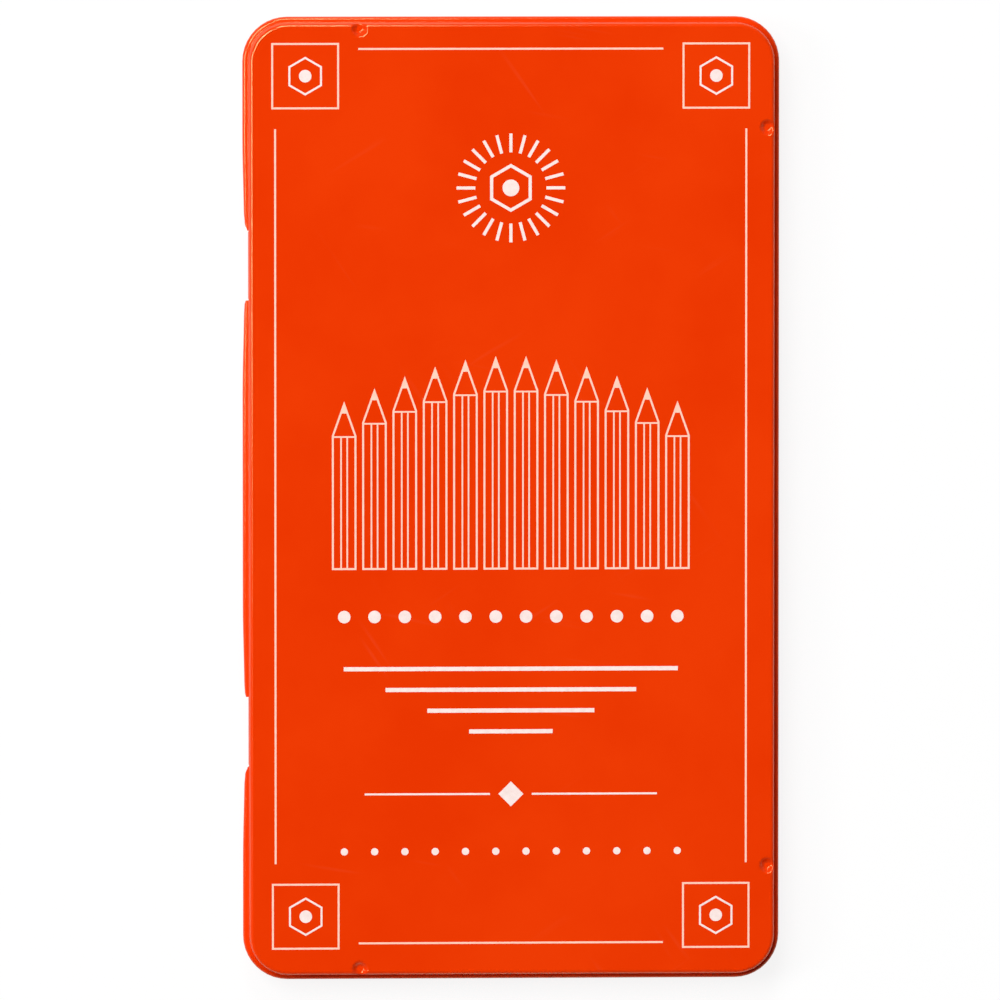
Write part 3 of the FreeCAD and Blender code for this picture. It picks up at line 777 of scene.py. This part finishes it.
def handled_group():
    """Traces of handling on a glossy face: soft patches, fine scratches and peel."""
    tree, given, result = new_group(
        "handled_face", ("Patch Scale", "Scratch Scale"), ("Patches", "Scratches", "Peel")
    )
    patches = noise(tree, given["Vector"], given["Patch Scale"], 4.0, 0.55)
    feed(tree, result.inputs["Patches"], ramp(tree, patches, 0.36, 0.66))
    lines = None
    for turn in (0.6, -1.0, 1.4):
        streak = noise(tree, stretched(tree, given["Vector"], 22, turn), given["Scratch Scale"], 1.0)
        streak = ramp(tree, streak, 0.70, 0.78)
        lines = streak if lines is None else combine(tree, "MAXIMUM", lines, streak)
    zones = ramp(tree, noise(tree, given["Vector"], 60.0, 1.0), 0.5, 0.72)
    feed(tree, result.inputs["Scratches"], combine(tree, "MULTIPLY", lines, zones))
    feed(tree, result.inputs["Peel"], noise(tree, given["Vector"], 1400.0, 2.0))
    return tree


def grain_group():
    """Fine grain of a matt face: an even mottle and sparse flecks."""
    tree, given, result = new_group("fine_grain", ("Scale",), ("Mottle", "Flecks"))
    mottle = noise(tree, given["Vector"], given["Scale"], 4.0)
    feed(tree, result.inputs["Mottle"], ramp(tree, mottle, 0.3, 0.7))
    fine = combine(tree, "MULTIPLY", given["Scale"], 3.7)
    flecks = noise(tree, given["Vector"], fine, 1.0)
    feed(tree, result.inputs["Flecks"], ramp(tree, flecks, 0.62, 0.74))
    return tree


HANDLED = handled_group()
GRAIN = grain_group()


def new_material(name):
    material = bpy.data.materials.new(name)
    material.use_nodes = True
    tree = material.node_tree
    place = tree.nodes.new("ShaderNodeTexCoord").outputs["Object"]
    return material, tree, place, tree.nodes["Principled BSDF"]


def use_group(tree, group, **sockets):
    item = tree.nodes.new("ShaderNodeGroup")
    item.node_tree = group
    for name, value in sockets.items():
        feed(tree, item.inputs[name.replace("_", " ")], value)
    return item.outputs


def paint(tree, surface, colour, rough):
    feed(tree, surface.inputs["Base Color"], colour)
    feed(tree, surface.inputs["Roughness"], rough)


def bump(tree, surface, height, depth):
    item = add_node(tree, "ShaderNodeBump", Height=height, Distance=depth, Strength=1.0)
    feed(tree, surface.inputs["Normal"], item.outputs["Normal"])


def tin_lacquer():
    """Orange gloss lacquer on tinplate, lightly handled and duller on the drawn walls."""
    material, tree, place, surface = new_material("tin_lacquer")
    worn = use_group(tree, HANDLED, Vector=place, Patch_Scale=38.0, Scratch_Scale=700.0)
    colour = mixed(tree, worn["Patches"], (0.820, 0.036, 0.0, 1), (0.860, 0.044, 0.001, 1))
    colour = tinged(tree, worn["Scratches"], 0.03, colour, linear(255, 150, 110))
    rough = ramp(tree, worn["Patches"], 0.0, 1.0, 0.11, 0.08)
    rough = combine(tree, "ADD", rough, combine(tree, "MULTIPLY", worn["Scratches"], 0.08))
    facing = add_node(tree, "ShaderNodeSeparateXYZ", Vector=place.node.outputs["Normal"]).outputs["Z"]
    level = combine(tree, "ABSOLUTE", facing, 0.0)
    dull = ramp(tree, level, 0.3, 0.75, 0.55, 0.0)
    paint(tree, surface, colour, combine(tree, "ADD", rough, dull))
    surface.inputs["Specular IOR Level"].default_value = 0.8
    surface.inputs["Specular Tint"].default_value = (1.0, 0.85, 0.4, 1)
    bump(tree, surface, worn["Peel"], 0.000004)
    return material


def white_ink(name, deep, pale):
    """Off-white ink with the lacquer showing through in flecks."""
    material, tree, place, surface = new_material(name)
    grain = use_group(tree, GRAIN, Vector=place, Scale=900.0)
    colour = mixed(tree, grain["Mottle"], deep, pale)
    colour = tinged(tree, grain["Flecks"], 0.12, colour, linear(242, 120, 80))
    paint(tree, surface, colour, ramp(tree, grain["Mottle"], 0.0, 1.0, 0.38, 0.5))
    return material


def tray_sheet():
    """White satin plastic, formed over a mould."""
    material, tree, place, surface = new_material("tray_sheet")
    grain = use_group(tree, GRAIN, Vector=place, Scale=700.0)
    worn = use_group(tree, HANDLED, Vector=place, Patch_Scale=60.0, Scratch_Scale=900.0)
    colour = mixed(tree, worn["Patches"], linear(226, 226, 222), linear(236, 236, 233))
    colour = tinged(tree, grain["Flecks"], 0.15, colour, linear(205, 204, 200))
    paint(tree, surface, colour, ramp(tree, grain["Mottle"], 0.0, 1.0, 0.34, 0.46))
    bump(tree, surface, grain["Mottle"], 0.000006)
    return material


def drawn_wire():
    """Bright steel wire with the lines of the drawing die along it."""
    material, tree, place, surface = new_material("drawn_wire")
    grain = use_group(tree, GRAIN, Vector=stretched(tree, place, 20), Scale=4000.0)
    colour = mixed(tree, grain["Mottle"], linear(168, 168, 170), linear(205, 205, 206))
    paint(tree, surface, colour, ramp(tree, grain["Mottle"], 0.0, 1.0, 0.22, 0.38))
    surface.inputs["Metallic"].default_value = 1.0
    return material


def pencil_lacquer(name, colour):
    """Coloured gloss on the six flats."""
    material, tree, place, surface = new_material(name)
    worn = use_group(tree, HANDLED, Vector=place, Patch_Scale=70.0, Scratch_Scale=1100.0)
    deep = [part * 0.9 for part in colour[:3]] + [1.0]
    shade = mixed(tree, worn["Patches"], deep, colour)
    shade = tinged(tree, worn["Scratches"], 0.05, shade, linear(240, 225, 205))
    paint(tree, surface, shade, ramp(tree, worn["Patches"], 0.0, 1.0, 0.28, 0.2))
    bump(tree, surface, worn["Peel"], 0.000005)
    return material


def bare_wood():
    """Pale close-grained wood where the pencil is cut and sharpened."""
    material, tree, place, surface = new_material("bare_wood")
    rings = noise(tree, stretched(tree, place, 16), 900.0, 5.0, 0.6)
    pores = ramp(tree, noise(tree, stretched(tree, place, 8), 5200.0, 2.0), 0.58, 0.72)
    colour = mixed(tree, ramp(tree, rings, 0.35, 0.68), linear(232, 200, 156), linear(205, 164, 116))
    colour = tinged(tree, pores, 0.5, colour, linear(160, 118, 78))
    paint(tree, surface, colour, ramp(tree, rings, 0.3, 0.7, 0.52, 0.68))
    bump(tree, surface, rings, 0.00003)
    return material


def wax_core(name, colour):
    """Pigment in wax: dense colour, flecked where it was cut."""
    material, tree, place, surface = new_material(name)
    grain = use_group(tree, GRAIN, Vector=place, Scale=2600.0)
    deep = [part * 0.78 for part in colour[:3]] + [1.0]
    shade = mixed(tree, grain["Mottle"], deep, colour)
    shade = tinged(tree, grain["Flecks"], 0.2, shade, linear(250, 240, 225))
    paint(tree, surface, shade, ramp(tree, grain["Mottle"], 0.0, 1.0, 0.36, 0.52))
    bump(tree, surface, grain["Mottle"], 0.00002)
    return material


# Assembly.


def dress(piece, body, *materials, replaces=None, slot=None):
    if piece.data.materials:
        piece.data.materials.clear()
    for material in materials:
        piece.data.materials.append(material)
    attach(piece, body)
    if replaces:
        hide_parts(replaces)


lacquer = tin_lacquer()
dress(press_lid(), "lid", lacquer, replaces="lid", slot="orange_lacquer")
dress(press_base(), "base", lacquer, replaces="base_pan", slot="orange_lacquer")
dress(form_tray(), "base", tray_sheet(), replaces="tray", slot="tray_plastic")
wire = drawn_wire()
for pin in ("hinge_pin_upper", "hinge_pin_lower"):
    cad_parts[pin].data.materials[0] = wire
ink = white_ink("white_ink", linear(242, 220, 214), linear(250, 232, 227))
# Thin strokes let more of the orange through.
thin_ink = white_ink("thin_ink", linear(252, 199, 176), linear(255, 209, 188))
for draw in (print_border, print_upright_row):
    dress(draw(), "lid", thin_ink)
for draw in (print_badges, print_rays, print_foot):
    dress(draw(), "lid", ink)

COLOURS = (
    ("lemon", linear(250, 226, 40)),
    ("amber", linear(255, 176, 28)),
    ("orange", linear(255, 120, 20)),
    ("coral", linear(255, 84, 66)),
    ("rose", linear(250, 64, 122)),
    ("magenta", linear(214, 44, 150)),
    ("violet", linear(122, 64, 180)),
    ("blue", linear(44, 84, 200)),
    ("sky", linear(30, 152, 228)),
    ("turquoise", linear(20, 176, 160)),
    ("green", linear(36, 170, 66)),
    ("lime", linear(168, 216, 36)),
)
casing, core, wood = shape_casing(), shape_core(), bare_wood()
for number, (colour, shade) in enumerate(COLOURS, start=1):
    x = (number - (PENCILS + 1) / 2) * PITCH
    pencil = f"pencil_{number:02d}"
    dress(
        copy_of(casing, f"{pencil}_barrel", x),
        pencil,
        pencil_lacquer(f"{colour}_gloss", shade),
        wood,
        replaces=f"{pencil}_casing",
        slot=f"{colour}_lacquer",
    )
    dress(
        copy_of(core, f"{pencil}_colour", x),
        pencil,
        wax_core(f"{colour}_wax", shade),
        replaces=f"{pencil}_core",
        slot=f"{colour}_core",
    )
for pattern in (casing, core):
    bpy.data.objects.remove(pattern)

# Stage: white floor, a softbox and two strips at the upper left, camera above and slightly tilted.


def floor_material():
    """White paper that the camera sees in soft shadow near the tin and pure white beyond."""
    material, tree, place, surface = new_material("floor")
    surface.inputs["Base Color"].default_value = (0.95, 0.95, 0.95, 1)
    surface.inputs["Roughness"].default_value = 0.8
    surface.inputs["Specular IOR Level"].default_value = 0.0
    rays = tree.nodes.new("ShaderNodeLightPath").outputs
    near, beyond = 0.1, 0.4
    far = add_node(tree, "ShaderNodeVectorMath", {"operation": "LENGTH"}, Vector=place)
    far = far.outputs["Value"]
    white = ramp(tree, far, near, beyond, 0.88, 1.0)
    seen = combine(tree, "MULTIPLY", rays["Is Camera Ray"], white)
    mirrored = combine(tree, "MAXIMUM", rays["Is Glossy Ray"], rays["Is Transmission Ray"])
    mirrored = combine(tree, "MULTIPLY", mirrored, ramp(tree, far, near, beyond))
    glow = add_node(tree, "ShaderNodeEmission", Color=(1, 1, 1, 1), Strength=1.0)
    mix = add_node(tree, "ShaderNodeMixShader", Fac=combine(tree, "MAXIMUM", seen, mirrored))
    tree.links.new(surface.outputs["BSDF"], mix.inputs[1])
    tree.links.new(glow.outputs["Emission"], mix.inputs[2])
    tree.links.new(mix.outputs["Shader"], tree.nodes["Material Output"].inputs["Surface"])
    return material


def light_world():
    """Dim overhead, brighter towards the horizon."""
    world = bpy.data.worlds.new("studio")
    world.use_nodes = True
    tree = world.node_tree
    place = tree.nodes.new("ShaderNodeTexCoord").outputs["Generated"]
    height = add_node(tree, "ShaderNodeSeparateXYZ", Vector=place).outputs["Z"]
    level = ramp(tree, height, 0.1, 0.9, 0.2, 0.01)
    feed(tree, tree.nodes["Background"].inputs["Strength"], level)
    tree.nodes["Background"].inputs["Color"].default_value = (1, 1, 1, 1)
    return world


scene = bpy.context.scene
scene.view_settings.view_transform = "Standard"
scene.world = light_world()

clear_selection()
bpy.ops.mesh.primitive_plane_add(size=40)
floor = named("floor")
floor.data.materials.append(floor_material())

for name, spot, long, wide, watts in (
    ("key_softbox", (-1.35, 1.35, 3.6), 1.6, 1.6, 114),
    ("left_strip", (-2.9, 0.3, 2.9), 1.0, 1.2, 52),
    ("top_strip", (-0.3, 2.9, 2.9), 1.0, 1.2, 52),
):
    bpy.ops.object.light_add(type="AREA", location=spot)
    softbox = bpy.context.object
    softbox.name = name
    softbox.data.shape = "RECTANGLE"
    softbox.data.size, softbox.data.size_y = long, wide
    softbox.data.energy = watts
    softbox.rotation_euler = softbox.location.to_track_quat("Z", "Y").to_euler()

turn = Euler((math.radians(-3.2), math.radians(-3.1), 0))
above = Vector((0, 0, 1))
above.rotate(turn)
aim, distance = Vector((-0.0021, -0.00037, 0.0071)), 3
bpy.ops.object.camera_add(location=aim + distance * above, rotation=turn)
scene.camera = bpy.context.object
scene.camera.data.lens = 564.1
